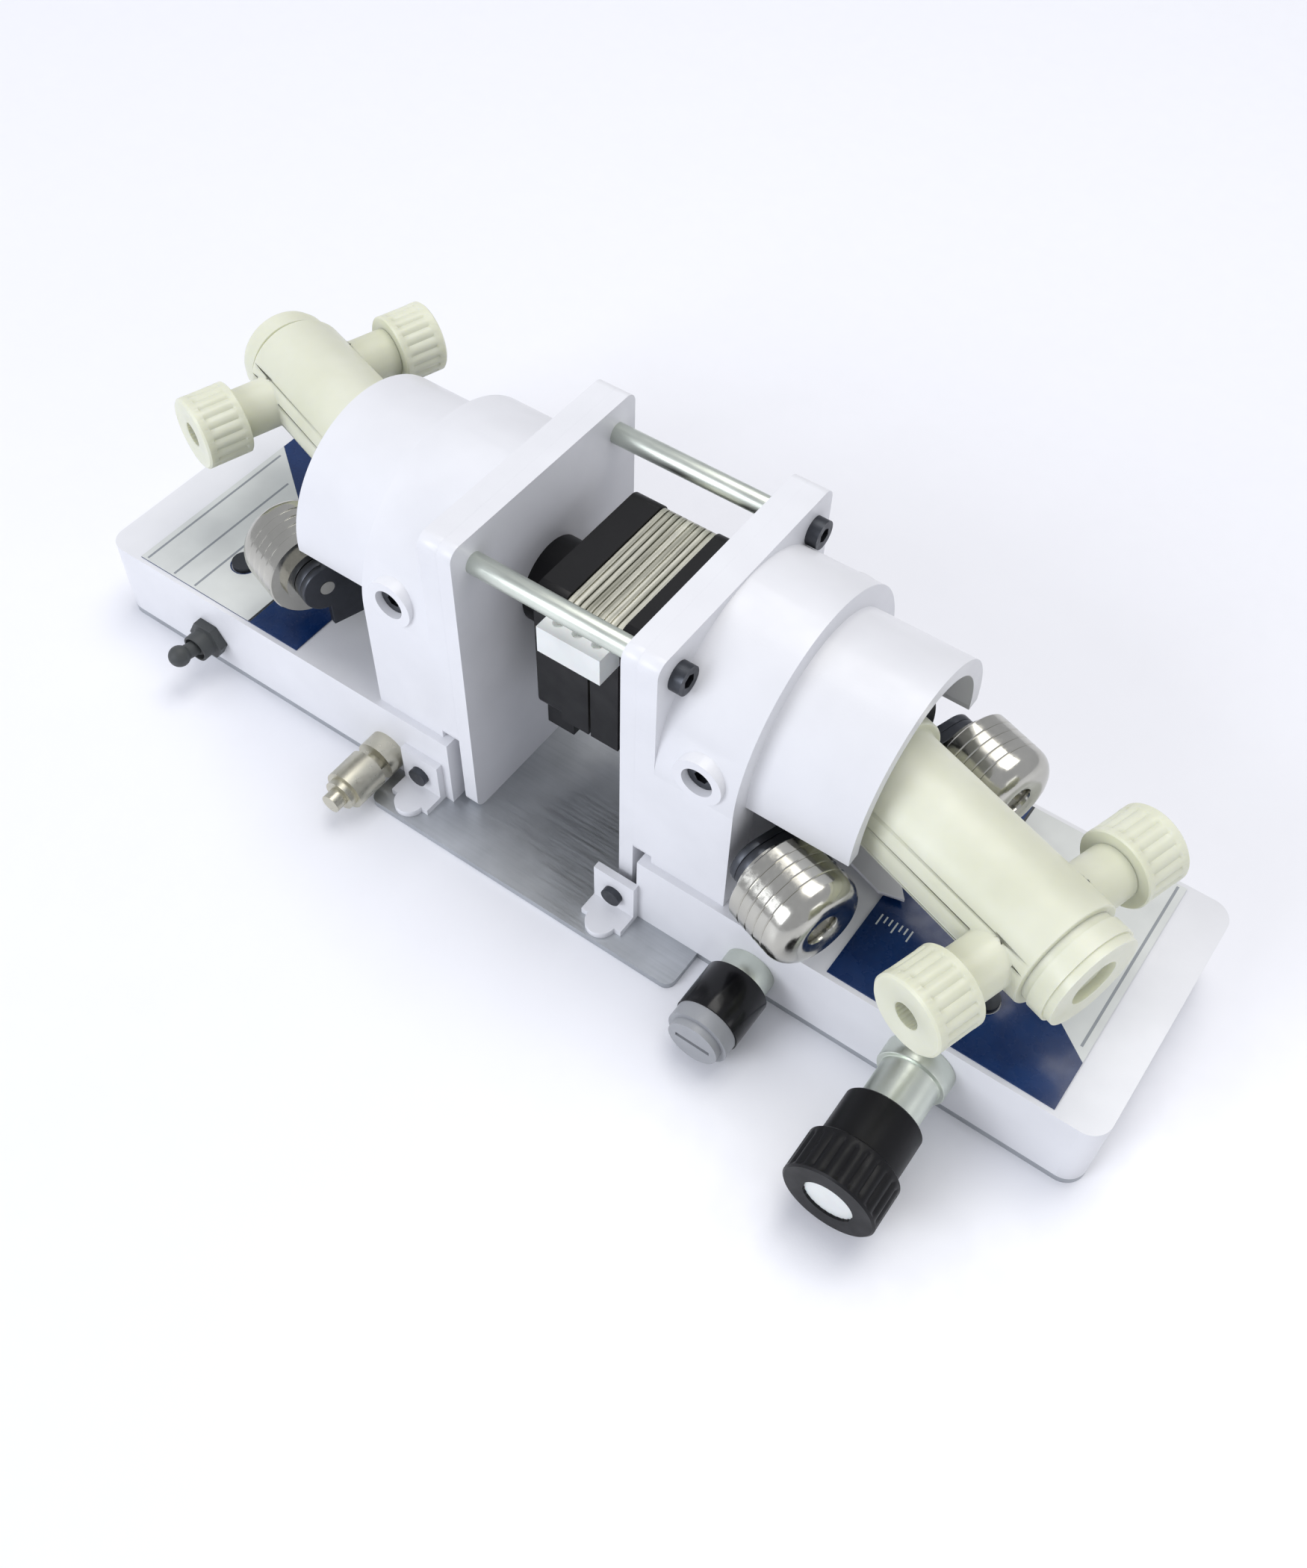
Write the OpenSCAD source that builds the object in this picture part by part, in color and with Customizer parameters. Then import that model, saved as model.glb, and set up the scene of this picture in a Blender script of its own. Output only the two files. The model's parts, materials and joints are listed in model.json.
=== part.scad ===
// Duplex metering pump: one motor between two end plates drives a swivelling
// piston pump head at each end.  Millimetres, +X along the motor axis, -Y front, +Z up.
// The origin is the centre of the four base mounting holes, on the bottom face.

/* [Base] */
// Length of the base along the motor axis
base_len = 452; // [430:1:480]
// Width of the base covers
base_wid = 108; // [104:1:116]
// Height of the cover decks above the bench
deck_z = 38; // [36:1:42]
// Thickness of the chassis plate
chassis_t = 3; // [2:0.5:4]
// Half width of the wide middle of the chassis plate
wing_half = 72; // [70:1:76]
// Sheet thickness of the base covers
cover_wall = 2.5; // [1.5:0.5:3]
// Radius of a base mounting hole
mount_hole_r = 2.75; // [2.5:0.05:3.5]

/* [Motor bay] */
// Height of the motor axis above the bench
axis_z = 90; // [90:1:94]
// Distance from the middle to the inner face of an end plate
plate_in = 34; // [33:1:36]
// Thickness of an end plate
plate_t = 6; // [5:0.5:7]
// Width of the end plates and housings
plate_wid = 102; // [100:1:104]
// Distance of an upper standoff from the motor axis, across and up
standoff_off = 40; // [40:0.5:42]
// Width and height of the motor's lamination stack
stack_wid = 60; // [56:1:60]
// Radius of the motor shaft
shaft_r = 4; // [3:0.5:5]

/* [Pump housing] */
// Radius of the arched hood over the head
hood_r = 43; // [42:0.5:45]
// Distance from the middle to the outer rim of the hood
hood_out = 118; // [114:1:120]
// Distance from the middle to the outer face of the housing block
block_out = 79; // [76:1:80]

/* [Pump head] */
// Distance from the middle to a swivel axis
swivel_x = 88; // [87:1:90]
// Swing of each head from the motor axis, which sets its stroke
swivel_deg = 18; // [0:1:20]
// Radius of the head case
head_r = 21; // [20:0.5:22]
// Distance from the swivel axis to the port line
port_s = 93; // [90:1:96]
// Distance from the head axis to the outer face of a port nut
port_out = 54; // [52:1:56]
// Radius of the piston
piston_r = 4.75; // [4:0.05:5]
// Radius of the bore that takes a tube in a port nut
port_bore_r = 4.8; // [3.2:0.1:5]
// Radius of a thumb nut
thumb_r = 18.5; // [16:0.25:18.75]

/* [Front controls] */
// Place of the control knob along the front
knob_x = 163; // [150:1:175]
// Radius of the control knob's grip
knob_r = 17.25; // [16:0.25:21]
// Distance from the middle plane to the knob's front face
knob_out = 115; // [105:1:118]

/* [Hidden] */
$fn = 64;
fit = 0.05;                              // radial clearance of a running fit
base_x = base_len / 2;
base_y = base_wid / 2;
cover_x0 = 44;                           // where a cover begins, outside the end plate
mount_hole_x = 200;
mount_hole_y = 42;
screw_x = 171;                           // deck screws and their posts
screw_y = 30;
plate_out = plate_in + plate_t;
flange_out = plate_out + 8;              // outer face of a housing's square flange
plate_top = axis_z + plate_wid / 2 + 1;
stack_x0 = -5;                           // the stack sits a little off the middle
stack_x1 = 18;
stack_mid = (stack_x0 + stack_x1) / 2;
bell_t = 12;
cheek_gap = 1;                           // between the cheeks of the two end bells
rotor_r = 15;
air_gap = 0.6;
motor_foot_z = 46;                       // underside of the feet cast on the end bells
bearing_r = 11;
shaft_end = 66;
hole_r = 14;                             // clearance round the shaft in a flange
hood_wall = 6;
cavity_r = hood_r - hood_wall;
standoff_z = axis_z + standoff_off;
cavity_x0 = flange_out + 5;              // back of the round cavity in a housing
well_x0 = flange_out + 14;               // back of the open well under it
floor_t = 2;                             // floor left under the well
bolt_r = 2.5;                            // standoff and housing screws
bolt_head_r = 5.4;
bolt_head_t = 4.5;
housing_screw_x = 65;
housing_screw_z = 100;
boss_r = 9.5;                            // bosses round the side screws
boss_root = 40;
boss_out = 52;
side_seat = 46;                          // where a side screw's head sits
side_shank = 8;
fork_face = 76;                          // face of the drive fork's disc
fork_tip = 96;
pin_arm = 12;                            // radius of the drive pin's ball circle
ball_r = 4;
arm_z = deck_z + 4;                      // underside of the swivel arm
arm_t = 4;
yoke_s0 = 11;                            // the yoke plate, outward of the swivel axis
yoke_s1 = 14;
flange_s1 = 18;                          // outer face of the head's flange
yoke_r = 31;
head_flange_r = 24;
pivot_r = 4;
stud_r = 3;
stud_y = 44;
stud_z = axis_z - 22;
thumb_len = 30;
thumb_neck = 3;
dish_r = 6;                              // hollow in a thumb nut's face
dish_depth = 4;
thumb_round = 8;                         // rounding of a thumb nut's outer end
case_end = 106;                          // outer end of the head case
cap_end = 118;                           // outer end of the end cap
liner_s0 = 74;
liner_r = 11;
port_nut_r = 14.5;
port_depth = 16;                         // how far a tube goes into a port nut
duct_r = 2.4;
corner_r = 8;                            // corners of the base
label_x0 = 122;
label_x1 = 208;
label_half = 52;
label_t = 0.5;
bracket_x = [-57, 36];                   // middles of the two brackets
bracket_w = 18;
bracket_z = 14;                          // height of a bracket's screw
bracket_screw_r = 1.75;
knob_z = 22.5;
control_shaft_r = 3;
neck_y0 = 79;                            // the knob's neck
neck_y1 = 98;
neck_r = 14.6;
cap_r = 9.3;                             // white disc in the knob's face
cap_depth = 3;
fuse_x = 94.5;
fuse_z = 15;
fuse_r = 7;                              // body of the fuse holder in the skirt
post_x = -76;
post_z = 13;
post_r = 4;
toggle_x = -172;
toggle_z = 16;
toggle_tilt = 14;                        // lever's lift from level
toggle_r = 6;
gland_x = -150;
gland_z = 20;
gland_r = 7;
lead_r = 3.5;

// ---- helpers ----

// mirrors a right-hand piece to the left when side is -1
module sided(side) {
  if (side > 0) children();
  else mirror([1, 0, 0]) children();
}

// places a head piece: drawn with the swivel axis at the origin and the head along +X
module swung(side) {
  translate([side * swivel_x, 0, 0]) rotate([0, 0, -swivel_deg]) sided(side) children();
}

// a cylinder along +X from x0 to x1, on the motor axis unless y and z are given
module bar_x(x0, x1, r, y = 0, z = axis_z) {
  translate([x0, y, z]) rotate([0, 90, 0]) cylinder(h = x1 - x0, r = r);
}

// a cylinder along -Y from y0 to y1 (distances in front of the middle plane)
module bar_front(y0, y1, r, x, z) {
  translate([x, -y0, z]) rotate([90, 0, 0]) cylinder(h = y1 - y0, r = r);
}

// rectangle with rounded corners, centred
module rounded(w, h, r) {
  square([w - 2 * r, h], center = true);
  square([w, h - 2 * r], center = true);
  for (i = [-1, 1], j = [-1, 1])
    translate([i * (w / 2 - r), j * (h / 2 - r)]) circle(r = r);
}

// a sheet standing across the X axis from x0 to x1; the child outline is drawn as (Y, Z)
module across(x0, x1) {
  translate([x0, 0, 0]) rotate([90, 0, 90]) linear_extrude(height = x1 - x0) children();
}

// arch outline: half circle of radius r about the axis, with straight legs down to z0
module arch(r, z0) {
  translate([0, axis_z]) circle(r = r);
  translate([-r, z0]) square([2 * r, axis_z - z0]);
}

// ---- base ----

module chassis_plate() {
  color("#8f9496") difference() {
    union() {
      linear_extrude(height = chassis_t) {
        rounded(base_len, base_wid, corner_r);
        rounded(2 * wing_half, 2 * wing_half, 4);
      }
      for (i = [-1, 1], j = [-1, 1])
        translate([i * screw_x, j * screw_y, 0]) cylinder(h = deck_z - cover_wall, r = 5);
    }
    for (i = [-1, 1], j = [-1, 1]) {
      translate([i * mount_hole_x, j * mount_hole_y, -1])
        cylinder(h = chassis_t + 2, r = mount_hole_r);
      translate([i * screw_x, j * screw_y, deck_z - 12]) cylinder(h = 12, r = 2);
    }
  }
}

module cover_outline(inset) {
  x0 = cover_x0 + inset;
  x1 = base_x - inset;
  y = base_y - inset;
  r = corner_r - inset;
  translate([x0, -y]) square([x1 - r - x0, 2 * y]);
  translate([x0, r - y]) square([x1 - x0, 2 * (y - r)]);
  for (j = [-1, 1]) translate([x1 - r, j * (y - r)]) circle(r = r);
}

module base_cover() {
  difference() {
    translate([0, 0, chassis_t]) linear_extrude(height = deck_z - chassis_t) cover_outline(0);
    translate([0, 0, chassis_t - 1])
      linear_extrude(height = deck_z - cover_wall - chassis_t + 1) cover_outline(cover_wall);
    translate([swivel_x, 0, deck_z - 5]) cylinder(h = 6, r = pivot_r);
    for (j = [-1, 1]) translate([screw_x, j * screw_y, deck_z - 5]) cylinder(h = 6, r = 2.2);
  }
}

module left_base_cover() {
  color("#eef0f4") difference() {
    sided(-1) base_cover();
    bar_front(base_y - 5, base_y + 1, post_r, post_x, post_z);
    bar_front(base_y - 5, base_y + 1, toggle_r, toggle_x, toggle_z);
    bar_front(base_y - 5, base_y + 1, bracket_screw_r, bracket_x[0], bracket_z);
    bar_front(-base_y - 1, -base_y + 5, gland_r, gland_x, gland_z);
  }
}

module right_base_cover() {
  color("#eef0f4") difference() {
    base_cover();
    bar_front(base_y - 5, base_y + 1, 6, knob_x, knob_z);
    bar_front(base_y - 5, base_y + 1, fuse_r, fuse_x, fuse_z);
  }
}

// low cylinder head with a shank, pointing up
module pan_screw(head_r, shank_r, shank) {
  cylinder(h = 2.5, r = head_r);
  translate([0, 0, -shank]) cylinder(h = shank, r = shank_r);
}

module pan_screws() {
  color("#3a3d40") {
    for (i = [-1, 1], j = [-1, 1])
      translate([i * screw_x, j * screw_y, deck_z]) pan_screw(5, 2, 8);
    for (x = bracket_x)
      translate([x, -base_y - 3, bracket_z]) rotate([90, 0, 0]) pan_screw(4, bracket_screw_r, 9);
  }
}

// small folded feet along the front, screwed to the left cover and the right end plate
module plate_brackets() {
  color("#f1f2f5") for (x = bracket_x) difference() {
    union() {
      translate([x - bracket_w / 2, -base_y - 3, chassis_t]) cube([bracket_w, 3, 21]);
      translate([x - bracket_w / 2, -base_y - 11, chassis_t]) cube([bracket_w, 8.5, 3]);
      translate([x, -base_y - 11, chassis_t]) cylinder(h = 3, r = bracket_w / 2 - 3);
    }
    bar_front(base_y - 1, base_y + 4, bracket_screw_r, x, bracket_z);
  }
}

// ---- motor bay ----

module end_plate() {
  difference() {
    across(plate_in, plate_out)
      translate([0, (plate_top + chassis_t) / 2])
        rounded(plate_wid, plate_top - chassis_t, 5);
    bar_x(plate_in - 1, plate_out + 1, bearing_r);
    for (i = [-1, 1]) bar_x(plate_in - 1, plate_out + 1, bolt_r, i * standoff_off, standoff_z);
  }
}

module left_end_plate() { color("#e9ecf3") sided(-1) end_plate(); }
module right_end_plate() {
  color("#e9ecf3") difference() {
    end_plate();
    bar_front(base_y - 8, base_y, bracket_screw_r, bracket_x[1], bracket_z);
  }
}

module standoffs() {
  color("#c4cbbd") for (i = [-1, 1]) difference() {
    bar_x(-plate_in, plate_in, 4, i * standoff_off, standoff_z);
    for (x = [-plate_in - 1, plate_in - 12])
      bar_x(x, x + 13, bolt_r, i * standoff_off, standoff_z);
  }
}

// ---- pump housings ----

// frame of a housing's side screw, pointing out of the front (i = -1) or back (i = 1)
module at_side_screw(i) {
  translate([housing_screw_x, 0, housing_screw_z]) rotate([-i * 90, 0, 0]) children();
}

module housing() {
  difference() {
    union() {
      across(plate_out, flange_out)
        translate([0, (plate_top + deck_z) / 2])
          rounded(plate_wid, plate_top - deck_z, 5);
      across(flange_out, block_out) arch(plate_wid / 2, deck_z);
      across(block_out, hood_out) difference() {
        translate([0, axis_z]) circle(r = hood_r);
        translate([-hood_r - 1, 0]) square([2 * hood_r + 2, axis_z - 2]);
      }
      for (i = [-1, 1]) at_side_screw(i)
        translate([0, 0, boss_root]) cylinder(h = boss_out - boss_root, r = boss_r);
    }
    bar_x(plate_out - 1, flange_out + 10, hole_r);
    across(cavity_x0, hood_out + 1) translate([0, axis_z]) circle(r = cavity_r);
    across(well_x0, hood_out + 1)
      translate([-cavity_r, deck_z + floor_t]) square([2 * cavity_r, axis_z - deck_z - floor_t]);
    for (i = [-1, 1]) {
      bar_x(plate_out - 1, flange_out + 1, bolt_r, i * standoff_off, standoff_z);
      at_side_screw(i) {
        translate([0, 0, side_seat]) cylinder(h = boss_out - side_seat + 1, r = bolt_head_r + 0.6);
        translate([0, 0, side_seat - side_shank - 1]) cylinder(h = side_shank + 2, r = bolt_r);
      }
    }
  }
}

module left_housing() { color("#f2f3f8") sided(-1) housing(); }
module right_housing() { color("#f2f3f8") housing(); }

// socket screw pointing along +Z, with its head's underside at the origin
module socket_screw(head_t, shank) {
  difference() {
    union() {
      cylinder(h = head_t, r = bolt_head_r);
      translate([0, 0, -shank]) cylinder(h = shank, r = bolt_r);
    }
    translate([0, 0, head_t - 2.5]) cylinder(h = 3, r = 2.8, $fn = 6);
  }
}

// screws into the ends of the standoffs, and into the sides of the housings
module socket_screws() {
  color("#55595c") for (side = [-1, 1], i = [-1, 1]) sided(side) {
    translate([flange_out, i * standoff_off, standoff_z]) rotate([0, 90, 0])
      socket_screw(bolt_head_t, flange_out - plate_in + 10);
    at_side_screw(i) translate([0, 0, side_seat]) socket_screw(3.2, side_shank);
  }
}

// ---- motor ----

module stator_core() {
  color("#b9b8a8") difference() {
    across(stack_x0, stack_x1) translate([0, axis_z]) rounded(stack_wid, stack_wid, 4);
    bar_x(stack_x0 - 1, stack_x1 + 1, rotor_r + air_gap);
  }
}

// black end bell with a foot, and cheeks that cover half of the stack's front and back
module end_bell(x0, x1, boss0, boss1, cheek0, cheek1) {
  difference() {
    union() {
      across(x0, x1) translate([0, axis_z]) rounded(stack_wid + 2, stack_wid + 2, 6);
      translate([x0, -26, motor_foot_z]) cube([x1 - x0, 52, axis_z - stack_wid / 2 - motor_foot_z]);
      bar_x(boss0, boss1, 17);
      for (j = [-1, 1])
        translate([cheek0, j * (stack_wid / 2 + 0.75) - 0.75, axis_z - 30])
          cube([cheek1 - cheek0, 1.5, 55]);
    }
    bar_x(-plate_in - 1, plate_in + 1, 12);
  }
}

module end_bells() {
  color("#17181a") {
    end_bell(stack_x0 - bell_t, stack_x0, -plate_in, stack_x0 - bell_t, stack_x0 - 1,
             stack_mid - cheek_gap / 2);
    end_bell(stack_x1, stack_x1 + bell_t, stack_x1 + bell_t, plate_in,
             stack_mid + cheek_gap / 2, stack_x1 + 1);
  }
}

// connector for the motor leads, on the front of the stack
module terminal_block() {
  color("#eef0ee") difference() {
    translate([stack_mid - 13, -stack_wid / 2 - 12.5, axis_z + 17]) cube([26, 11, 12]);
    for (i = [-1, 0, 1])
      translate([stack_mid + i * 8, -stack_wid / 2 - 7, axis_z + 26]) cylinder(h = 4, r = 2);
  }
}

module motor_bearings() {
  color("#b8bcc0") for (side = [-1, 1]) sided(side) difference() {
    bar_x(plate_in, plate_out, bearing_r);
    bar_x(plate_in - 1, plate_out + 1, shaft_r + fit);
  }
}

module rotor_core() {
  color("#8b8d90") difference() {
    bar_x(stack_x0 + 1, stack_x1 - 1, rotor_r);
    bar_x(stack_x0, stack_x1, shaft_r);
  }
}

module motor_shaft() { color("#c9ccd0") bar_x(-shaft_end, shaft_end, shaft_r); }

// hub on the shaft end with two fingers that carry the drive pin's ball round
module drive_fork() {
  color("#a9adb1") difference() {
    union() {
      bar_x(52, fork_face - 6, 10);
      bar_x(fork_face - 6, fork_face, 17);
      for (j = [-1, 1])
        translate([fork_face - 1, j * 6.75 - 2.25, axis_z + 8.5])
          cube([fork_tip - fork_face + 1, 4.5, 7.5]);
    }
    bar_x(50, shaft_end, shaft_r);
  }
}

module left_drive_fork() { sided(-1) drive_fork(); }
module right_drive_fork() { drive_fork(); }

// ---- swivelling heads (drawn about their swivel axis) ----

module pivot_pins() {
  color("#c9ccd0") for (side = [-1, 1]) translate([side * swivel_x, 0, 0]) {
    translate([0, 0, deck_z - 8]) cylinder(h = arm_z + arm_t + 0.2 - deck_z + 8, r = pivot_r);
    translate([0, 0, arm_z + arm_t + 0.2]) cylinder(h = 3, r = 7);
    translate([0, 0, deck_z - 7]) cylinder(h = 4.5, r = 7);
  }
}

// plate outline shared by the yoke and the head's flange, seen along the head axis
module yoke_outline(r, z0) {
  translate([0, axis_z]) circle(r = r);
  translate([-stud_y, z0]) square([2 * stud_y, stud_z - z0 + 10]);
  for (j = [-1, 1]) translate([j * stud_y, stud_z]) circle(r = 10);
}

module swivel_yoke() {
  color("#3b3f44") difference() {
    union() {
      across(yoke_s0, yoke_s1) yoke_outline(yoke_r, arm_z + 6);
      translate([-12, -15, arm_z]) cube([12 + yoke_s1, 30, arm_t]);
      translate([yoke_s0, -15, arm_z]) cube([yoke_s1 - yoke_s0, 30, 12]);
    }
    bar_x(yoke_s0 - 1, yoke_s1 + 1, 25);
    translate([0, 0, arm_z - 1]) cylinder(h = arm_t + 2, r = pivot_r + fit);
    for (j = [-1, 1]) bar_x(yoke_s0 - 1, yoke_s1 + 1, stud_r, j * stud_y, stud_z);
  }
}

module left_swivel_yoke() { swung(-1) swivel_yoke(); }
module right_swivel_yoke() { swung(1) swivel_yoke(); }

// pointer over the scale
module pointer() {
  color("#f4f6fa") translate([0, 0, arm_z - 1.5]) linear_extrude(height = 1.5)
    polygon([[-8, -5], [36, -5], [44, 0], [36, 5], [-8, 5], [-8, 4.2], [5, 4.2],
             [5, -4.2], [-8, -4.2]]);
}

module left_pointer() { swung(-1) pointer(); }
module right_pointer() { swung(1) pointer(); }

// eared flange that the thumb nuts clamp to the yoke
module head_flange() {
  color("#33363a") difference() {
    across(yoke_s1, flange_s1) yoke_outline(head_flange_r, stud_z - 10);
    bar_x(yoke_s1 - 1, flange_s1 + 1, 17);
    for (j = [-1, 1]) bar_x(yoke_s1 - 1, flange_s1 + 1, stud_r, j * stud_y, stud_z);
  }
}

module left_head_flange() { swung(-1) head_flange(); }
module right_head_flange() { swung(1) head_flange(); }

module head_case() {
  color("#e2e3cc") difference() {
    union() {
      bar_x(flange_s1, flange_s1 + 6, head_flange_r);
      bar_x(flange_s1, case_end, head_r);
      bar_front(-35, 35, 10, port_s, axis_z);
    }
    bar_x(flange_s1 - 1, 52, 17);
    bar_x(50, liner_s0, 9);
    bar_x(liner_s0 - 1, case_end + 1, liner_r);
    bar_front(-36, 36, 5, port_s, axis_z);
  }
}

module left_head_case() { swung(-1) head_case(); }
module right_head_case() { swung(1) head_case(); }

// ceramic cylinder in which the piston turns and slides
module liner() {
  color("#f3efe2") difference() {
    bar_x(liner_s0, case_end, liner_r);
    bar_x(liner_s0 - 1, case_end - 4, piston_r + fit);
    bar_front(-12, 12, 2, port_s, axis_z);
  }
}

module left_liner() { swung(-1) liner(); }
module right_liner() { swung(1) liner(); }

// lip seals round the piston
module gland_seals() {
  color("#2c2e31") for (s = [58, 66]) difference() {
    bar_x(s, s + 4, 9);
    bar_x(s - 1, s + 5, piston_r + fit);
  }
}

module left_gland_seals() { swung(-1) gland_seals(); }
module right_gland_seals() { swung(1) gland_seals(); }

module end_cap() {
  color("#dfe0c6") difference() {
    union() {
      bar_x(case_end, cap_end, 18);
      bar_x(cap_end - 9, cap_end - 3, 19);
    }
    bar_x(cap_end - 3, cap_end + 1, 9);
  }
}

module left_end_cap() { swung(-1) end_cap(); }
module right_end_cap() { swung(1) end_cap(); }

// nuts that each clamp a tube into a port, one pair per head
module port_nuts() {
  color("#dcddc4") for (j = [0, 1]) mirror([0, j, 0]) difference() {
    union() {
      bar_front(35, port_out, port_nut_r, port_s, axis_z);
      bar_front(30, 35, 5, port_s, axis_z);
    }
    bar_front(29, port_out + 1, duct_r, port_s, axis_z);
    bar_front(port_out - port_depth, port_out + 1, port_bore_r, port_s, axis_z);
  }
}

module left_port_nuts() { swung(-1) port_nuts(); }
module right_port_nuts() { swung(1) port_nuts(); }

// piston with the flat that opens one port at a time, and its driven collar
module piston() {
  color("#efe9d8") difference() {
    union() {
      bar_x(-5, port_s + 7, piston_r);
      bar_x(-5, 5, 6.5);
    }
    translate([port_s - 6, -6, axis_z + 2]) cube([20, 12, 6]);
    translate([0, 0, axis_z]) cylinder(h = 10, r = 2.5);
  }
}

module left_piston() { swung(-1) piston(); }
module right_piston() { swung(1) piston(); }

module drive_pin() {
  color("#c9ccd0") {
    translate([0, 0, axis_z]) cylinder(h = pin_arm, r = 2.5);
    translate([0, 0, axis_z + pin_arm]) sphere(r = ball_r);
  }
}

module left_drive_pin() { swung(-1) drive_pin(); }
module right_drive_pin() { swung(1) drive_pin(); }

// studs that hold the head's flange to the yoke
module studs() {
  color("#aeb2b6") for (j = [-1, 1]) {
    bar_x(yoke_s0, flange_s1 + thumb_len - dish_depth, stud_r, j * stud_y, stud_z);
  }
}

module left_studs() { swung(-1) studs(); }
module right_studs() { swung(1) studs(); }

// thumb nut with a rounded outer end, dished in the middle
module thumb_nut(j) {
  color("#c3c7cb") translate([flange_s1 + 0.2, j * stud_y, stud_z]) rotate([0, 90, 0])
    rotate_extrude() difference() {
      union() {
        square([13, thumb_neck + 1]);
        translate([0, thumb_neck]) square([thumb_r, thumb_len - thumb_neck - thumb_round]);
        square([thumb_r - thumb_round, thumb_len]);
        translate([thumb_r - thumb_round, thumb_len - thumb_round]) circle(r = thumb_round);
      }
      translate([0, -1]) square([stud_r + fit, thumb_len + 2]);
      translate([0, thumb_len - dish_depth]) square([dish_r, dish_depth + 1]);
    }
}

module left_front_thumb_nut() { swung(-1) thumb_nut(-1); }
module left_rear_thumb_nut() { swung(-1) thumb_nut(1); }
module right_front_thumb_nut() { swung(1) thumb_nut(-1); }
module right_rear_thumb_nut() { swung(1) thumb_nut(1); }

// ---- scale labels ----

module scale_label() {
  color("#0b2450") difference() {
    translate([label_x0, -label_half, deck_z])
      cube([label_x1 - label_x0, 2 * label_half, label_t]);
    for (j = [-1, 1])
      translate([screw_x, j * screw_y, deck_z - 1]) cylinder(h = 3, r = 5.5);
  }
}

module left_scale_label() { sided(-1) scale_label(); }
module right_scale_label() { scale_label(); }

// ---- front controls ----

module control_knob() {
  color("#141516") difference() {
    union() {
      bar_front(neck_y0, neck_y1, neck_r, knob_x, knob_z);
      bar_front(neck_y1, knob_out, knob_r, knob_x, knob_z);
    }
    bar_front(neck_y0 - 1, neck_y1 + 4, control_shaft_r, knob_x, knob_z);
    bar_front(knob_out - cap_depth, knob_out + 1, cap_r, knob_x, knob_z);
  }
}

module knob_cap() {
  color("#eef0f2") bar_front(knob_out - cap_depth, knob_out - 1, cap_r, knob_x, knob_z);
}

module control_shaft() {
  color("#b5b9bd") bar_front(base_y - 18, neck_y1 + 4, control_shaft_r, knob_x, knob_z);
}

// threaded bushings and nuts that hold the switch and the fuse holder in the skirt
module panel_bushings() {
  color("#cfd6cc") {
    difference() {
      union() {
        bar_front(base_y, base_y + 8, 13, knob_x, knob_z);
        bar_front(base_y, neck_y0 - 0.5, 11, knob_x, knob_z);
        bar_front(base_y - 3, base_y, 6, knob_x, knob_z);
      }
      bar_front(base_y - 4, neck_y0, control_shaft_r + fit, knob_x, knob_z);
    }
    difference() {
      bar_front(base_y, base_y + 9, 10, fuse_x, fuse_z);
      bar_front(base_y - 1, base_y + 10, fuse_r, fuse_x, fuse_z);
    }
  }
}

module control_switch() {
  color("#3b4a42") difference() {
    translate([knob_x - 13, -base_y + 3, knob_z - 12.5]) cube([26, 14, 25]);
    bar_front(base_y - 20, base_y, control_shaft_r + fit, knob_x, knob_z);
  }
}

module fuse_holder() {
  color("#161719") {
    bar_front(base_y + 9, base_y + 28, 12.5, fuse_x, fuse_z);
    bar_front(base_y - 28, base_y + 9, fuse_r, fuse_x, fuse_z);
  }
}

module fuse_cap() {
  color("#9a9ca0") difference() {
    union() {
      bar_front(base_y + 28.1, base_y + 34, 12, fuse_x, fuse_z);
      bar_front(base_y + 34, base_y + 37, 10, fuse_x, fuse_z);
    }
    translate([fuse_x - 7, -base_y - 38, fuse_z - 1]) cube([14, 2.5, 2]);
  }
}

module toggle_switch() {
  color("#6d7276") difference() {
    union() {
      translate([toggle_x, -base_y, toggle_z]) rotate([90, 0, 0])
        cylinder(h = 4, r = 9, $fn = 6);
      bar_front(base_y - 3, base_y + 10, toggle_r, toggle_x, toggle_z);
      translate([toggle_x - 8, -base_y + 3, toggle_z - 11]) cube([16, 16, 22]);
    }
    translate([toggle_x, -base_y - 6, toggle_z]) sphere(r = 5);
    bar_front(base_y + 6, base_y + 12, 5, toggle_x, toggle_z);
  }
}

module toggle_lever() {
  color("#4a4d50") translate([toggle_x, -base_y - 6, toggle_z]) {
    sphere(r = 4.6);
    rotate([90 - toggle_tilt, 0, 0]) {
      cylinder(h = 12, r = 3.2);
      translate([0, 0, 12]) sphere(r = 4.5);
    }
  }
}

module ground_post() {
  color("#b6b39c") {
    bar_front(base_y - 12, base_y + 34, post_r, post_x, post_z);
    bar_front(base_y, base_y + 8, 8.5, post_x, post_z);
  }
}

module ground_nut() {
  color("#c9cac6") difference() {
    union() {
      bar_front(base_y + 12, base_y + 26, 8.5, post_x, post_z);
      bar_front(base_y + 26, base_y + 29, 6.5, post_x, post_z);
    }
    bar_front(base_y + 11, base_y + 30, post_r + fit, post_x, post_z);
  }
}

// strain relief for the mains lead, on the back of the left cover
module cord_gland() {
  color("#1a1b1d") difference() {
    union() {
      bar_front(-base_y - 3, -base_y, 10, gland_x, gland_z);
      bar_front(-base_y, -base_y + 6, gland_r, gland_x, gland_z);
      bar_front(-base_y - 14, -base_y - 3, gland_r, gland_x, gland_z);
    }
    bar_front(-base_y - 15, -base_y + 7, lead_r, gland_x, gland_z);
  }
}

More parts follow.
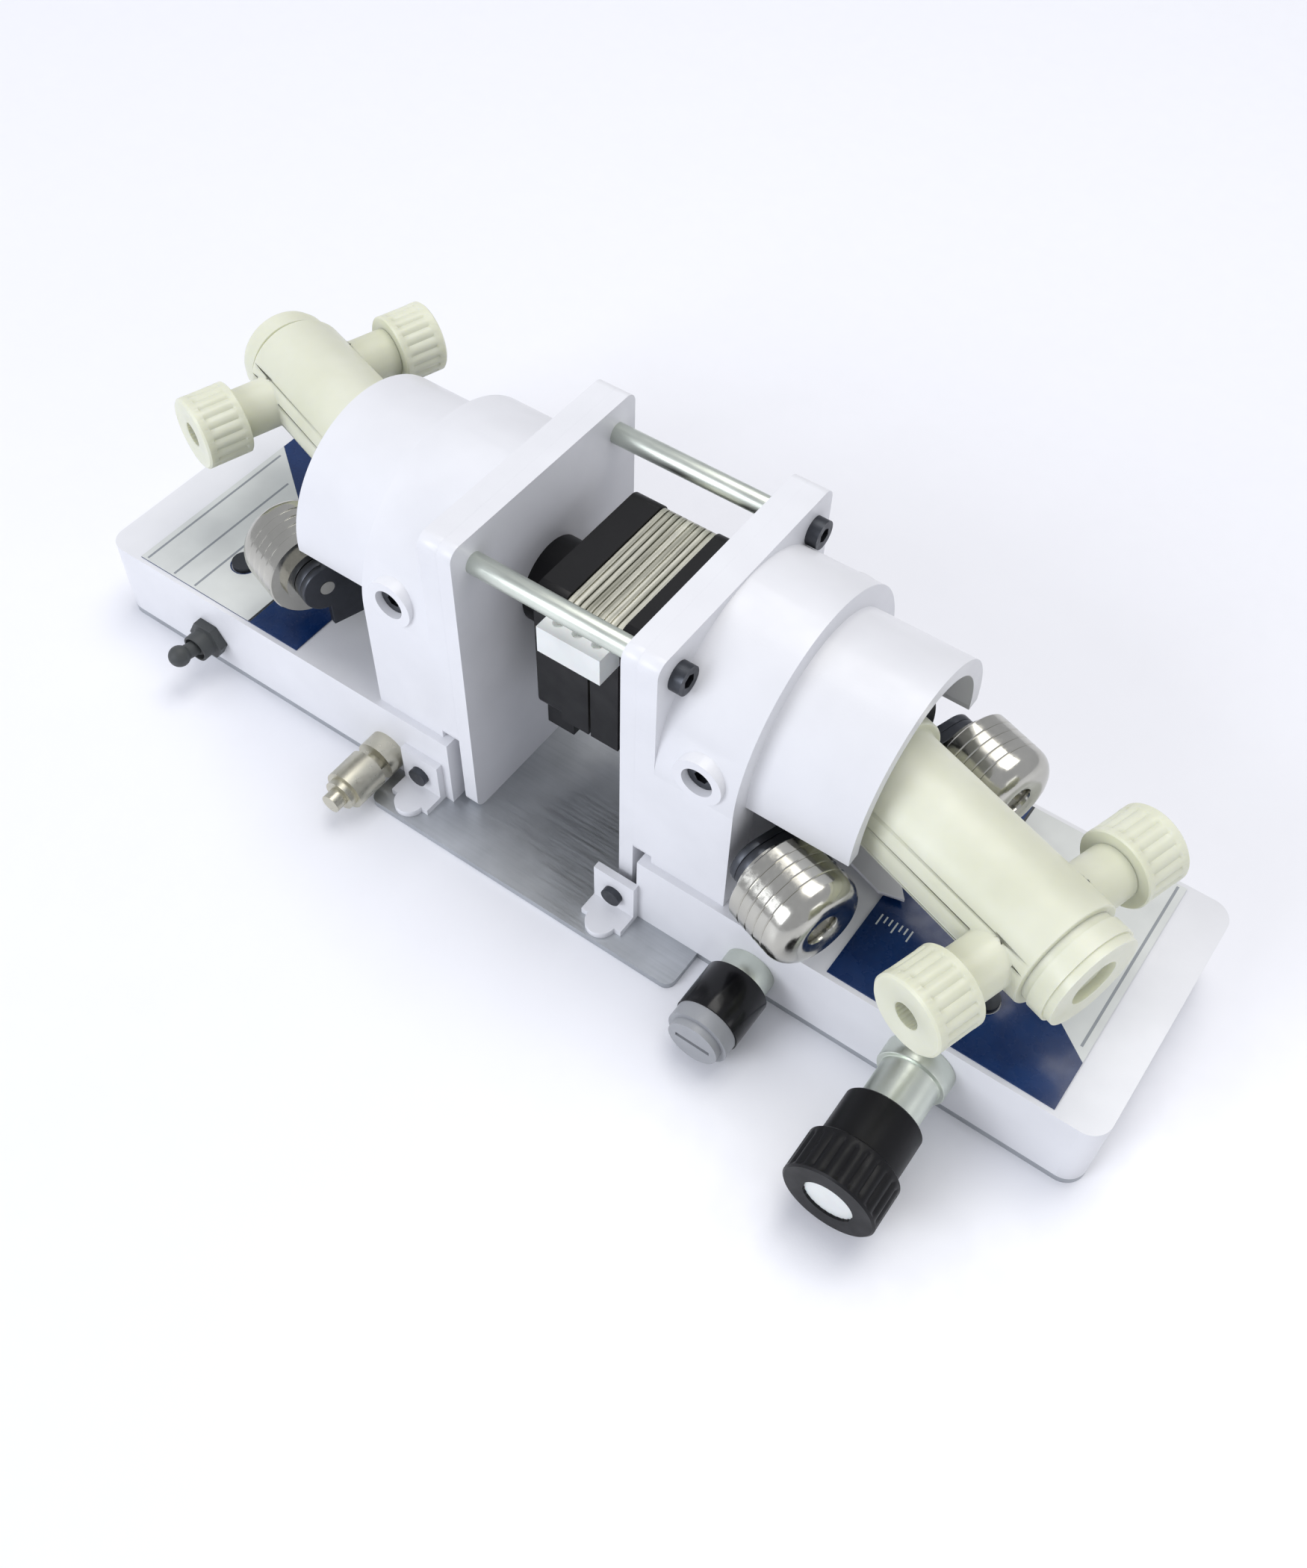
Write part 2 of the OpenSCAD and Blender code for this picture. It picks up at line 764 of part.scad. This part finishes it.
chassis_plate();
left_base_cover();
right_base_cover();
pan_screws();
left_end_plate();
right_end_plate();
plate_brackets();
standoffs();
left_housing();
right_housing();
socket_screws();
stator_core();
end_bells();
terminal_block();
motor_bearings();
rotor_core();
motor_shaft();
left_drive_fork();
right_drive_fork();
pivot_pins();
left_swivel_yoke();
right_swivel_yoke();
left_pointer();
right_pointer();
left_head_flange();
right_head_flange();
left_head_case();
right_head_case();
left_liner();
right_liner();
left_gland_seals();
right_gland_seals();
left_end_cap();
right_end_cap();
left_port_nuts();
right_port_nuts();
left_piston();
right_piston();
left_drive_pin();
right_drive_pin();
left_front_thumb_nut();
left_rear_thumb_nut();
right_front_thumb_nut();
right_rear_thumb_nut();
left_studs();
right_studs();
left_scale_label();
right_scale_label();
control_knob();
knob_cap();
control_shaft();
panel_bushings();
control_switch();
fuse_holder();
fuse_cap();
toggle_switch();
toggle_lever();
ground_post();
ground_nut();
cord_gland();
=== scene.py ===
"""Looks of the duplex metering pump: materials, detailed pieces, camera, light and floor."""

import json
import math

import bmesh
import bpy
from mathutils import Matrix, Vector


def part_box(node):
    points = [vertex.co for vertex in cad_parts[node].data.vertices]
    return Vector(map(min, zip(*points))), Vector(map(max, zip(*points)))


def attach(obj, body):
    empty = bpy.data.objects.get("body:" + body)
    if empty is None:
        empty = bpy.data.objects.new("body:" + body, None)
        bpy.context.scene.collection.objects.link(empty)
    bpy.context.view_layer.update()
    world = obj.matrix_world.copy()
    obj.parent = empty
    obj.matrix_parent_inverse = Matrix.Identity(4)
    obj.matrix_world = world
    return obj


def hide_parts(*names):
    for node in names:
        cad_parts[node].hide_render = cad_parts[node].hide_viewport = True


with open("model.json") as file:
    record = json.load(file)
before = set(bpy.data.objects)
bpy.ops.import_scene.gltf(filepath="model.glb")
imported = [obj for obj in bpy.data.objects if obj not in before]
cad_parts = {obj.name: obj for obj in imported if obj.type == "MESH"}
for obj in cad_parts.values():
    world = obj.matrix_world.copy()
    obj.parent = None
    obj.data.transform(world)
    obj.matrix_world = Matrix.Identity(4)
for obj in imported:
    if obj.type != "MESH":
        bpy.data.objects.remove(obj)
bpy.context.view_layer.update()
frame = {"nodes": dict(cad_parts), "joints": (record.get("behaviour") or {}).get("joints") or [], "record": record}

MM = 0.001
X, Y, Z = Vector((1, 0, 0)), Vector((0, 1, 0)), Vector((0, 0, 1))
JOINTS = {joint["name"]: joint for joint in frame["joints"]}
SIDES = {"left": -1, "right": 1}

STACK_CORNER = 4 * MM
STACK_BORE = 15.6 * MM
SHEETS = 9
SEAM_DEPTH = 1.2 * MM
PORT_LINE = 93 * MM                # from the swivel axis, along the head
NUT_ROUND = 8                      # rounding of a thumb nut's outer end
PRINT_T = 0.05 * MM                # thickness of the label's panel and ticks
RULE_T = 0.03 * MM
LABEL_SCREW = (-171, -30)
LABEL_SCREW_CLEAR = 6


# ---- places taken from the frame ----


def middle(node):
    """Centre of a CAD node's box."""
    low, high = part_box(node)
    return (low + high) / 2


def place(origin, axis, up=Z):
    """Matrix whose local Z lies along axis and whose local X lies as near to up as it can."""
    z = Vector(axis).normalized()
    x = (Vector(up) - z * z.dot(up)).normalized()
    y = z.cross(x)
    matrix = Matrix((x, y, z)).transposed().to_4x4()
    matrix.translation = origin
    return matrix


def head_place(side):
    """Matrix of a head: local Z outward along the head, local X up, origin on the swivel axis."""
    joint = JOINTS[f"{side}_plunger_spin"]
    return place(Vector(joint["pos_m"]), Vector(joint["axis"]) * SIDES[side])


# ---- materials ----


def new_material(name, color, roughness, metallic=0.0, **sockets):
    """Principled material with its constant values on the shader's own sockets."""
    made = bpy.data.materials.new(name)
    made.use_nodes = True
    shader = made.node_tree.nodes["Principled BSDF"]
    shader.inputs["Base Color"].default_value = (*color, 1)
    shader.inputs["Roughness"].default_value = roughness
    shader.inputs["Metallic"].default_value = metallic
    for socket, value in sockets.items():
        shader.inputs[socket.replace("_", " ")].default_value = value
    return made


def add_node(material, kind, **values):
    """Adds a shader node and sets its sockets, or its properties where no socket has that name."""
    node = material.node_tree.nodes.new(kind)
    for name, value in values.items():
        socket = node.inputs.get(name.replace("_", " "))
        if socket is None:
            setattr(node, name, value)
        else:
            socket.default_value = value
    return node


def link(material, source, target):
    material.node_tree.links.new(source, target)


def noise(material, scale, detail=3.0, stretch=(1, 1, 1)):
    """Noise value over the object's own coordinates, in cycles a metre."""
    where = add_node(material, "ShaderNodeTexCoord")
    mapping = add_node(material, "ShaderNodeMapping")
    mapping.inputs["Scale"].default_value = stretch
    texture = add_node(material, "ShaderNodeTexNoise", Scale=scale, Detail=detail)
    link(material, where.outputs["Object"], mapping.inputs["Vector"])
    link(material, mapping.outputs["Vector"], texture.inputs["Vector"])
    return texture.outputs["Fac"]


def remap(material, value, low, high):
    """Stretches the middle of a noise value to run from low to high."""
    node = add_node(material, "ShaderNodeMapRange")
    node.inputs["From Min"].default_value = 0.3
    node.inputs["From Max"].default_value = 0.7
    node.inputs["To Min"].default_value = low
    node.inputs["To Max"].default_value = high
    link(material, value, node.inputs["Value"])
    return node.outputs["Result"]


def mottle(material, value, color_a, color_b):
    """Base colour that drifts between two tints."""
    ramp = add_node(material, "ShaderNodeValToRGB")
    ramp.color_ramp.elements[0].position = 0.32
    ramp.color_ramp.elements[0].color = (*color_a, 1)
    ramp.color_ramp.elements[1].position = 0.68
    ramp.color_ramp.elements[1].color = (*color_b, 1)
    link(material, value, ramp.inputs["Fac"])
    shader = material.node_tree.nodes["Principled BSDF"]
    link(material, ramp.outputs["Color"], shader.inputs["Base Color"])


def vary_roughness(material, value, low, high):
    shader = material.node_tree.nodes["Principled BSDF"]
    link(material, remap(material, value, low, high), shader.inputs["Roughness"])


def relief(material, value, strength, depth):
    """Bump whose full height is depth metres."""
    bump = add_node(material, "ShaderNodeBump", Strength=strength, Distance=depth)
    link(material, value, bump.inputs["Height"])
    shader = material.node_tree.nodes["Principled BSDF"]
    link(material, bump.outputs["Normal"], shader.inputs["Normal"])


def tint(color, factor):
    return tuple(min(1, channel * factor) for channel in color)


def painted(name, color, drift=1.0):
    """Powder coat: fine orange peel, uneven gloss, and a colour that wanders by drift."""
    made = new_material(name, color, 0.42, Coat_Weight=0.15, Coat_Roughness=0.2)
    mottle(made, noise(made, 35), tint(color, 1 - 0.035 * drift), tint(color, 1 + 0.02 * drift))
    vary_roughness(made, noise(made, 120), 0.34, 0.5)
    relief(made, noise(made, 950, 2), 0.35, 0.00006)
    return made


def metal(name, color, low, high, stretch=(1, 1, 1), scale=400, depth=0.00003):
    """Machined or brushed metal: streaks along one direction, uneven polish."""
    made = new_material(name, color, (low + high) / 2, 1.0)
    streaks = noise(made, scale, 4, stretch)
    mottle(made, noise(made, 60), tint(color, 0.9), tint(color, 1.06))
    vary_roughness(made, streaks, low, high)
    relief(made, streaks, 0.4, depth)
    return made


def moulded(name, color, low, high, grain=1400, depth=0.00004, **sockets):
    """Moulded plastic with a fine texture and uneven gloss."""
    made = new_material(name, color, (low + high) / 2, 0.0, **sockets)
    mottle(made, noise(made, 50), tint(color, 0.93), tint(color, 1.05))
    vary_roughness(made, noise(made, 90), low, high)
    relief(made, noise(made, grain, 2), 0.3, depth)
    return made


def natural_plastic():
    """Unfilled, slightly cloudy plastic: light enters it, and thin edges glow."""
    color = (0.72, 0.73, 0.58)
    made = new_material("natural_plastic", color, 0.36, Subsurface_Weight=0.45, Subsurface_Scale=0.004,
                        Subsurface_Radius=(1.0, 0.95, 0.6), IOR=1.42)
    mottle(made, noise(made, 28, 4), (0.67, 0.68, 0.53), (0.76, 0.77, 0.64))
    vary_roughness(made, noise(made, 150), 0.3, 0.45)
    relief(made, noise(made, 260, 3, (1, 1, 4)), 0.25, 0.00008)
    return made


def laminated():
    """Edges of stacked steel sheets, some darker than the rest."""
    made = metal("laminations", (0.66, 0.655, 0.58), 0.32, 0.55, (6, 0.6, 0.6), 220, 0.00005)
    mottle(made, noise(made, 90, 3, (7, 0.12, 0.12)), (0.26, 0.26, 0.21), (0.74, 0.73, 0.64))
    return made


def label_film():
    """Glossy printed film, a little uneven in its ink."""
    made = new_material("label_film", (0.004, 0.026, 0.11), 0.3, Coat_Weight=0.2, Coat_Roughness=0.1,
                        Specular_IOR_Level=0.3)
    mottle(made, noise(made, 70, 4), (0.003, 0.02, 0.09), (0.006, 0.034, 0.135))
    vary_roughness(made, noise(made, 200), 0.2, 0.34)
    relief(made, noise(made, 300, 2), 0.2, 0.00004)
    return made


MATERIALS = {
    "body_paint": painted("body_paint", (0.78, 0.785, 0.81)),
    "chassis_metal": metal("chassis_metal", (0.50, 0.52, 0.54), 0.38, 0.6, (0.15, 3, 3), 300),
    "bright_steel": metal("bright_steel", (0.52, 0.51, 0.46), 0.10, 0.24, (1, 1, 1), 500, 0.00001),
    # Near-black steel. On the swivel yokes its darkness is partly painted shade, filling the gap under the hoods
    # with dark.
    "dark_steel": metal("dark_steel", (0.075, 0.08, 0.09), 0.32, 0.5),
    "standoff_metal": metal("standoff_metal", (0.66, 0.70, 0.63), 0.3, 0.46, (0.2, 3, 3), 500),
    "laminations": laminated(),
    "black_plastic": moulded("black_plastic", (0.006, 0.006, 0.007), 0.34, 0.52,
                             Specular_IOR_Level=0.25),
    "black_gloss": moulded("black_gloss", (0.005, 0.005, 0.006), 0.14, 0.26, depth=0.00001,
                           Specular_IOR_Level=0.3),
    "white_plastic": moulded("white_plastic", (0.80, 0.82, 0.80), 0.36, 0.5, Subsurface_Weight=0.1,
                             Subsurface_Scale=0.002),
    "natural_plastic": natural_plastic(),
    "ceramic": moulded("ceramic", (0.84, 0.80, 0.70), 0.12, 0.22, depth=0.000005),
    "seal_rubber": moulded("seal_rubber", (0.022, 0.022, 0.024), 0.6, 0.75),
    "label_film": label_film(),
    "switch_body": moulded("switch_body", (0.055, 0.06, 0.06), 0.45, 0.6),
    "grey_plastic": moulded("grey_plastic", (0.32, 0.33, 0.345), 0.3, 0.45),
    "warm_metal": metal("warm_metal", (0.60, 0.58, 0.48), 0.25, 0.42),
    "label_ink": moulded("label_ink", (0.66, 0.68, 0.66), 0.35, 0.5, depth=0.00001),
    "label_black": moulded("label_black", (0.02, 0.024, 0.03), 0.35, 0.5, depth=0.00001),
    "label_grey": moulded("label_grey", (0.27, 0.29, 0.31), 0.35, 0.5, depth=0.00001),
}


# ---- mesh pieces ----


def finish_mesh(name, mesh_maker, material, body, replaces=(), smooth=34):
    """Turns a bmesh into a piece that rides on a body."""
    bmesh.ops.recalc_face_normals(mesh_maker, faces=mesh_maker.faces)
    mesh = bpy.data.meshes.new(name)
    mesh_maker.to_mesh(mesh)
    mesh_maker.free()
    for face in mesh.polygons:
        face.use_smooth = True
    mesh.set_sharp_from_angle(angle=math.radians(smooth))
    mesh.materials.append(MATERIALS[material])
    piece = bpy.data.objects.new(name, mesh)
    bpy.context.scene.collection.objects.link(piece)
    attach(piece, body)
    if replaces:
        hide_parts(*replaces)
    return piece


def lathe(maker, profile, at, steps=96, wave=None):
    """Adds a turned solid. profile is (height, radius) pairs from one end of its section to the
    other; wave(height, angle) adds to the radius."""
    rings = []
    for height, radius in profile:
        if radius == 0:
            rings.append([maker.verts.new(at @ Vector((0, 0, height)))])
            continue
        ring = []
        for k in range(steps):
            angle = 2 * math.pi * k / steps
            r = radius + (wave(height, angle) if wave else 0)
            ring.append(maker.verts.new(at @ Vector((r * math.cos(angle), r * math.sin(angle), height))))
        rings.append(ring)
    pairs = list(zip(rings, rings[1:]))
    if profile[0][1] and profile[-1][1]:
        pairs.append((rings[-1], rings[0]))
    for one, two in pairs:
        for k in range(steps):
            n = (k + 1) % steps
            corners = [one[k % len(one)], one[n % len(one)], two[n % len(two)], two[k % len(two)]]
            corners = list(dict.fromkeys(corners))
            if len(corners) > 2:
                maker.faces.new(corners)


def box(maker, low, high, at=Matrix.Identity(4)):
    """Adds a box between two corners given in the place's own axes."""
    corners = [maker.verts.new(at @ Vector((x, y, z)))
               for x in (low[0], high[0]) for y in (low[1], high[1]) for z in (low[2], high[2])]
    for face in ((0, 1, 3, 2), (4, 6, 7, 5), (0, 4, 5, 1), (2, 3, 7, 6), (0, 2, 6, 4), (1, 5, 7, 3)):
        maker.faces.new([corners[i] for i in face])


def prism(maker, outline, z0, z1, at=Matrix.Identity(4)):
    """Adds a prism: outline is a list of (x, y) points in the place's own axes."""
    bottom = [maker.verts.new(at @ Vector((x, y, z0))) for x, y in outline]
    top = [maker.verts.new(at @ Vector((x, y, z1))) for x, y in outline]
    maker.faces.new(bottom[::-1])
    maker.faces.new(top)
    for k in range(len(outline)):
        n = (k + 1) % len(outline)
        maker.faces.new((bottom[k], bottom[n], top[n], top[k]))


def soften(piece, width, segments=2, angle=40):
    """Rounds a piece's hard edges; a CAD node gets the same as a modifier only."""
    weld = piece.modifiers.new("weld", "WELD")
    weld.merge_threshold = 0.000005
    bevel = piece.modifiers.new("bevel", "BEVEL")
    bevel.width = width
    bevel.segments = segments
    bevel.limit_method = "ANGLE"
    bevel.angle_limit = math.radians(angle)
    bevel.harden_normals = False
    bevel.use_clamp_overlap = True


def grip(start, stop, count, depth):
    """Wave for lathe(): count rounded ribs between two heights."""
    def wave(height, angle):
        if not start <= height <= stop:
            return 0.0
        return depth * (abs(math.sin(angle * count / 2)) - 1)
    return wave


# ---- the CAD nodes that stay: material and softened edges ----

SOFT_EDGE = {
    "chassis_plate": 0.5, "left_base_cover": 1.0, "right_base_cover": 1.0, "left_end_plate": 0.8,
    "right_end_plate": 0.8, "plate_brackets": 0.6, "left_housing": 1.1, "right_housing": 1.1,
    "end_bells": 0.7, "left_head_flange": 0.4, "right_head_flange": 0.4, "terminal_block": 0.5,
    "left_swivel_yoke": 0.4, "right_swivel_yoke": 0.4, "left_pointer": 0.2, "right_pointer": 0.2,
    "left_head_case": 0.6, "right_head_case": 0.6, "panel_bushings": 0.4, "standoffs": 0.4,
    "toggle_switch": 0.4, "cord_gland": 0.5, "fuse_holder": 0.5, "left_drive_fork": 0.4,
    "right_drive_fork": 0.4,
}

for entry in frame["record"]["subparts"]:
    node = frame["nodes"][entry["node"]]
    node.data.materials.clear()
    node.data.materials.append(MATERIALS[entry["material_slot"]])
    if entry["node"] in SOFT_EDGE:
        soften(node, SOFT_EDGE[entry["node"]] * MM)


# ---- detailed pieces ----


def lamination_stack():
    """The motor's stack as sheets with dark seams between them."""
    low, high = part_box("stator_core")
    half, length = (high.z - low.z) / 2, high.x - low.x
    start = middle("stator_core") - X * length / 2

    def edge(height, angle):
        if height in (0, length):
            return 0.0
        long, short = sorted((abs(math.cos(angle)), abs(math.sin(angle))), reverse=True)
        reach = half / long
        if reach * short > half - STACK_CORNER:
            along = (half - STACK_CORNER) * (long + short)
            reach = along + math.sqrt(along ** 2 - 2 * (half - STACK_CORNER) ** 2 + STACK_CORNER ** 2)
        return reach - half

    profile, pitch = [(0, STACK_BORE)], length / SHEETS
    for k in range(SHEETS):
        profile += [(pitch * (k + 0.1), half - SEAM_DEPTH), (pitch * (k + 0.12), half),
                    (pitch * (k + 0.88), half), (pitch * (k + 0.9), half - SEAM_DEPTH)]
    profile.append((length, STACK_BORE))
    maker = bmesh.new()
    lathe(maker, profile, place(start, X), 160, edge)
    finish_mesh("stator_core_sheets", maker, "laminations", "base", ("stator_core",), 20)


def thumb_nut(side, row):
    """Turned nut with fine grooves round it, a rounded outer end and a dished face."""
    joint = JOINTS[f"{side}_{row}_nut_turn"]
    at = place(Vector(joint["pos_m"]), head_place(side).to_3x3().col[2])
    profile = [(18.2, 3.05), (18.2, 13), (21.2, 13), (21.2, 18), (21.7, 18.5)]
    for k in range(4):
        groove = 26 + 4 * k
        profile += [(groove - 0.4, 18.5), (groove, 18.2), (groove + 0.4, 18.5)]
    for k in range(9):
        turn = math.pi / 2 * k / 8
        profile.append((40.2 + NUT_ROUND * math.sin(turn), 10.5 + NUT_ROUND * math.cos(turn)))
    profile += [(47.9, 8.5), (47.2, 6.2), (46.9, 6), (44.2, 6), (44.2, 3.05)]
    maker = bmesh.new()
    lathe(maker, [(height * MM, radius * MM) for height, radius in profile], at)
    node = f"{side}_{row}_thumb_nut"
    finish_mesh(node + "_turned", maker, "bright_steel", f"{side}_{row}_nut", (node,))


def port_nuts(side):
    """Ribbed nuts on the two ports of a head."""
    head = head_place(side)
    maker = bmesh.new()
    for way in (-1, 1):
        at = place(head @ Vector((0, 0, PORT_LINE)), head.to_3x3().col[1] * way)
        profile = [(30, 2.4), (30, 5), (35, 5), (35, 14), (35.5, 14.5), (37.5, 14.5)]
        profile += [(38 + 2 * k, 14.5) for k in range(7)]
        profile += [(50.5, 14.5), (53.2, 14.5), (54, 13.7), (54, 5.4), (53.6, 4.8), (38, 4.8), (38, 2.4)]
        lathe(maker, [(height * MM, radius * MM) for height, radius in profile], at, 160,
              grip(37.8 * MM, 50.2 * MM, 20, 0.7 * MM))
    node = f"{side}_port_nuts"
    finish_mesh(node + "_ribbed", maker, "natural_plastic", f"{side}_head", (node,))


def control_knob():
    """Fluted knob with a plain neck and a seat for its white disc."""
    centre = Vector(JOINTS["control_turn"]["pos_m"])
    centre.y = 0
    profile = [(79, 3), (79, 14), (79.6, 14.6), (98, 14.6), (98, 16.6), (98.6, 17.25), (100, 17.25),
               (101, 17.25), (106, 17.25), (112, 17.25), (113, 17.25), (114.3, 17.25), (115, 16.5),
               (115, 9.3), (112, 9.3), (112, 3)]
    maker = bmesh.new()
    lathe(maker, [(height * MM, radius * MM) for height, radius in profile], place(centre, -Y), 240,
          grip(100.5 * MM, 113.5 * MM, 24, 0.8 * MM))
    finish_mesh("control_knob_fluted", maker, "black_plastic", "knob", ("control_knob",))


def label_print(side):
    """Pale panel, rules and scale ticks; one label is the other turned half round."""
    way = -SIDES[side]
    z0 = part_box(f"{side}_scale_label")[1].z
    z1 = z0 + PRINT_T
    screw_x, screw_y = LABEL_SCREW
    clear = LABEL_SCREW_CLEAR

    def edge_y(x):
        """The slanting border between the pale panel and the navy."""
        return 34 - (x + 211) * 48 / 65

    def put(maker, outline):
        """Adds a flat shape drawn in the left label's millimetres."""
        prism(maker, [(way * x * MM, way * y * MM) for x, y in outline], z0, z1)

    arc = [math.pi * k / 12 for k in range(13)]
    panel = bmesh.new()
    put(panel, [(-208, -52), (screw_x, -52)]
        + [(screw_x - clear * math.sin(a), screw_y - clear * math.cos(a)) for a in arc]
        + [(screw_x, edge_y(screw_x)), (-208, edge_y(-208))])
    put(panel, [(-147, -52), (-147, edge_y(-147)), (screw_x, edge_y(screw_x))]
        + [(screw_x + clear * math.sin(a), screw_y + clear * math.cos(a)) for a in arc]
        + [(screw_x, -52)])
    finish_mesh(f"{side}_label_panel", panel, "label_ink", "base")
    rules = bmesh.new()
    for x in (-178.5, -190, -205):
        prism(rules, [(way * (x + i) * MM, way * y * MM) for i, y in
                      ((-0.5, -51), (0.5, -51), (0.5, edge_y(x) - 3), (-0.5, edge_y(x) - 3))],
              z1, z1 + RULE_T)
    finish_mesh(f"{side}_label_rules", rules, "label_grey", "base")
    border = bmesh.new()
    prism(border, [(way * x * MM, way * y * MM) for x, y in
                   ((-147.9, -52), (-147, -52), (-147, -13.5), (-147.9, -13))], z1, z1 + RULE_T)
    finish_mesh(f"{side}_label_border", border, "label_black", "base")
    ticks = bmesh.new()
    for k in range(7):
        x, reach = -138 + 2 * k, 5 if k % 3 == 0 else 3
        put(ticks, [(x - 0.3, 21), (x + 0.3, 21), (x + 0.3, 21 + reach), (x - 0.3, 21 + reach)])
    finish_mesh(f"{side}_label_ticks", ticks, "label_ink", "base")


lamination_stack()
control_knob()
for side in SIDES:
    port_nuts(side)
    label_print(side)
    for row in ("front", "rear"):
        thumb_nut(side, row)


# ---- camera, light and floor ----

CAMERA_AT = Vector((0.2184, -0.3064, 0.4969))
AZIMUTH, ELEVATION, ROLL = (math.radians(angle) for angle in (33.73, 53.31, 2.12))


def make_camera():
    back = Vector((math.sin(AZIMUTH) * math.cos(ELEVATION), -math.cos(AZIMUTH) * math.cos(ELEVATION),
                   math.sin(ELEVATION)))
    level = back.cross(Z) * -1
    level.normalize()
    above = back.cross(level)
    right = level * math.cos(ROLL) + above * math.sin(ROLL)
    up = above * math.cos(ROLL) - level * math.sin(ROLL)
    data = bpy.data.cameras.new("camera")
    data.lens = 35.57
    data.sensor_width = 36
    data.clip_start = 0.01
    camera = bpy.data.objects.new("camera", data)
    camera.matrix_world = Matrix((right, up, back)).transposed().to_4x4()
    camera.matrix_world.translation = CAMERA_AT
    bpy.context.scene.collection.objects.link(camera)
    bpy.context.scene.camera = camera


def area_light(name, at, target, size, power, color):
    data = bpy.data.lights.new(name, "AREA")
    data.size = size
    data.energy = power
    data.color = color
    lamp = bpy.data.objects.new(name, data)
    lamp.matrix_world = place(Vector(at), Vector(at) - Vector(target))
    bpy.context.scene.collection.objects.link(lamp)


def make_stage():
    """Pale floor and sky; a warm light from above, a cool one in front, a weak one at the end."""
    world = bpy.data.worlds.new("world")
    world.use_nodes = True
    sky = world.node_tree.nodes["Background"]
    sky.inputs["Color"].default_value = (0.90, 0.92, 1.0, 1)
    sky.inputs["Strength"].default_value = 0.6
    bpy.context.scene.world = world
    bpy.context.scene.view_settings.view_transform = "Standard"
    area_light("top", (0.1, 0.9, 3.0), (0, 0, 0.05), 1.9, 42, (1.0, 0.98, 0.94))
    area_light("front", (-1.2, -2.8, 1.6), (0, 0, 0.05), 1.6, 52, (0.90, 0.93, 1.0))
    area_light("end", (1.1, -0.2, 0.45), (0.1, 0, 0.05), 0.4, 0.8, (1.0, 1.0, 1.0))
    maker = bmesh.new()
    box(maker, (-3, -3, -0.02), (3, 3, 0))
    mesh = bpy.data.meshes.new("floor")
    maker.to_mesh(mesh)
    maker.free()
    floor = bpy.data.objects.new("floor", mesh)
    bpy.context.scene.collection.objects.link(floor)
    mesh.materials.append(painted("floor_paint", (0.90, 0.905, 0.94), 0.1))


make_camera()
make_stage()
